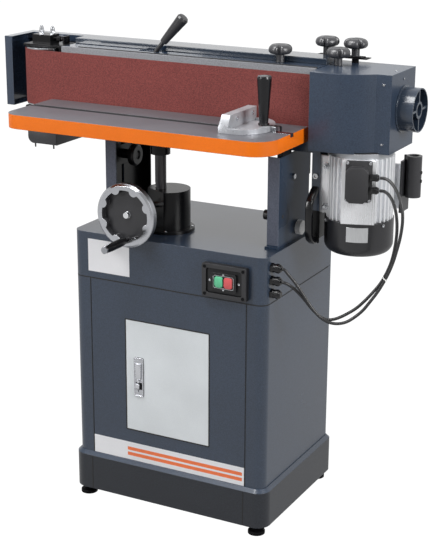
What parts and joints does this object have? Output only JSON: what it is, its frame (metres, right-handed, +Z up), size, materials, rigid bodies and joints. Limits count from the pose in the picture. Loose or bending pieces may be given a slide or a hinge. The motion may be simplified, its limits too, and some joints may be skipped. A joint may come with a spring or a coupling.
{
  "type": "edge sander",
  "caption": "Floor-standing edge sander: a tilting belt head with motor, guard and dust hood over a hand-wheel lifted table with mitre gauge, on a steel cabinet with door and switch.",
  "frame": {"origin": "on the floor, in the middle of the four levelling feet", "axes": "+Z up, +X towards the motor end, -Y towards the operator"},
  "size_m": [1.222, 0.5643, 1.3284],
  "materials": {
    "slate_paint": "fine orange-peel powder coat",
    "door_paint": "smooth powder coat",
    "table_iron": "ground top, painted orange edge",
    "black_steel": "satin black",
    "black_plastic": "fine grain",
    "bright_steel": "turned and zinc plated",
    "graphite_plate": "graphite cloth over ground plate",
    "chrome_lock": "polished",
    "cast_aluminium": "cast and turned",
    "black_rubber": "matte",
    "white_rubber": "matte",
    "belt_cloth": "coated abrasive",
    "cable_sheath": "semi-gloss",
    "green_plastic": "smooth",
    "red_plastic": "smooth"
  },
  "bodies": {
    "stand": {"plinth": "slate_paint", "cabinet_body": "slate_paint", "front_panel": "slate_paint", "top_box": "slate_paint", "levelling_feet": "black_rubber", "left_upright": "slate_paint", "right_upright": "slate_paint", "hinge_brackets": "black_steel", "hinge_pins": "bright_steel", "stop_pad": "white_rubber", "lift_housing": "black_steel", "stand_fasteners": "bright_steel", "switch_plate": "black_plastic", "stand_glands": "black_plastic", "cable_upper": "cable_sheath", "cable_lower": "cable_sheath"},
    "start": {"start_button": "green_plastic"},
    "stop": {"stop_button": "red_plastic"},
    "door": {"door": "door_paint", "door_lock": "chrome_lock"},
    "lock": {"lock_lever": "chrome_lock"},
    "tilt_lock": {"tilt_lock_knob": "black_plastic"},
    "wheel": {"pinion_shaft": "bright_steel", "handwheel": "cast_aluminium"},
    "crank": {"crank_grip": "black_plastic"},
    "table": {"table": "table_iron", "lift_column": "black_steel", "table_brackets": "black_steel"},
    "table_lock": {"table_lock_knob": "black_plastic"},
    "mitre_bar": {"mitre_bar": "bright_steel"},
    "mitre_head": {"mitre_head": "cast_aluminium"},
    "mitre_handle": {"mitre_handle": "black_plastic"},
    "head": {"head_beam": "slate_paint", "head_frame": "slate_paint", "platen": "graphite_plate", "sanding_belt": "belt_cloth", "rear_guard": "slate_paint", "guard_tabs": "black_steel", "hood": "slate_paint", "dust_port": "slate_paint", "tension_housing": "slate_paint", "motor_plate": "slate_paint", "motor_body": "cast_aluminium", "fan_cover": "black_steel", "terminal_box": "black_plastic", "motor_glands": "black_plastic", "head_fasteners": "bright_steel", "pull_handle": "black_steel", "accessory_tube": "black_steel"},
    "platen_knob": {"platen_knob": "black_plastic"},
    "hood_knob": {"hood_knob": "black_plastic"},
    "guard_knob_left": {"guard_knob_left": "black_plastic"},
    "guard_knob_right": {"guard_knob_right": "black_plastic"},
    "idler_carriage": {"idler_fork": "black_steel", "axle_block": "black_steel", "idler_axle": "bright_steel"},
    "idler": {"idler_roller": "bright_steel"},
    "lever": {"tension_lever": "black_plastic"},
    "rotor": {"drive_drum": "black_rubber", "motor_rotor": "bright_steel"}
  },
  "joints": [
    {"name": "start_press", "type": "slide", "parent": "stand", "child": "start", "axis": [0, 1, 0], "range_m": [0, 0.003], "stiffness_N_per_m": 600, "springref_m": -0.001},
    {"name": "stop_press", "type": "slide", "parent": "stand", "child": "stop", "axis": [0, 1, 0], "range_m": [0, 0.003], "stiffness_N_per_m": 600, "springref_m": -0.001},
    {"name": "door_swing", "type": "hinge", "parent": "stand", "child": "door", "pos_m": [0.121, -0.206, 0.383], "axis": [0, 0, 1], "range_deg": [0, 110]},
    {"name": "lock_turn", "type": "hinge", "parent": "door", "child": "lock", "pos_m": [-0.086, -0.2143, 0.379], "axis": [1, 0, 0], "range_deg": [0, 55]},
    {"name": "tilt_lock_turn", "type": "hinge", "parent": "stand", "child": "tilt_lock", "pos_m": [0.25, -0.095, 0.848], "axis": [1, 0, 0], "range_deg": [-180, 180]},
    {"name": "table_lift", "type": "slide", "parent": "stand", "child": "table", "axis": [0, 0, 1], "range_m": [-0.045, 0.025]},
    {"name": "wheel_turn", "type": "hinge", "parent": "stand", "child": "wheel", "pos_m": [-0.104, -0.15, 0.835], "axis": [0, -1, 0], "range_deg": [-215, 120]},
    {"name": "crank_spin", "type": "hinge", "parent": "wheel", "child": "crank", "pos_m": [-0.104, -0.29, 0.769], "axis": [0, -1, 0], "continuous": true},
    {"name": "table_lock_turn", "type": "hinge", "parent": "table", "child": "table_lock", "pos_m": [-0.2, -0.04, 0.947], "axis": [1, 0, 0], "range_deg": [-180, 180]},
    {"name": "mitre_slide", "type": "slide", "parent": "table", "child": "mitre_bar", "axis": [1, 0, 0], "range_m": [-0.42, 0.04]},
    {"name": "mitre_swing", "type": "hinge", "parent": "mitre_bar", "child": "mitre_head", "pos_m": [0.178, -0.16, 1.09], "axis": [0, 0, 1], "range_deg": [-45, 45]},
    {"name": "mitre_clamp", "type": "hinge", "parent": "mitre_bar", "child": "mitre_handle", "pos_m": [0.25, -0.16, 1.15], "axis": [0, 0, 1], "range_deg": [-180, 180]},
    {"name": "head_tilt", "type": "hinge", "parent": "stand", "child": "head", "pos_m": [0, 0.1125, 1.01], "axis": [1, 0, 0], "range_deg": [-90, 0], "deforming": ["cable_upper", "cable_lower"]},
    {"name": "platen_knob_turn", "type": "hinge", "parent": "head", "child": "platen_knob", "pos_m": [0.219, -0.006, 1.24], "axis": [0, 0, 1], "range_deg": [-180, 180]},
    {"name": "hood_knob_turn", "type": "hinge", "parent": "head", "child": "hood_knob", "pos_m": [0.364, 0.026, 1.24], "axis": [0, 0, 1], "range_deg": [-180, 180]},
    {"name": "guard_knob_left_turn", "type": "hinge", "parent": "head", "child": "guard_knob_left", "pos_m": [0.306, 0.09, 1.25], "axis": [0, 0, 1], "range_deg": [-180, 180]},
    {"name": "guard_knob_right_turn", "type": "hinge", "parent": "head", "child": "guard_knob_right", "pos_m": [0.384, 0.09, 1.25], "axis": [0, 0, 1], "range_deg": [-180, 180]},
    {"name": "idler_slide", "type": "slide", "parent": "head", "child": "idler_carriage", "axis": [1, 0, 0], "range_m": [0, 0.008]},
    {"name": "idler_spin", "type": "hinge", "parent": "idler_carriage", "child": "idler", "pos_m": [-0.49362, 0, 1.135], "axis": [0, 0, 1], "continuous": true},
    {"name": "lever_swing", "type": "hinge", "parent": "head", "child": "lever", "pos_m": [-0.16, 0, 1.206], "axis": [0, 1, 0], "range_deg": [-81, 1]},
    {"name": "drum_spin", "type": "hinge", "parent": "head", "child": "rotor", "pos_m": [0.446, 0, 1.135], "axis": [0, 0, 1], "continuous": true}
  ],
  "couplings": [
    {"joint": "wheel_turn", "follows": "table_lift", "rad_per_m": 83.333},
    {"joint": "idler_spin", "follows": "drum_spin", "ratio": 1},
    {"joint": "lever_swing", "follows": "idler_slide", "rad_per_m": -174.5}
  ]
}
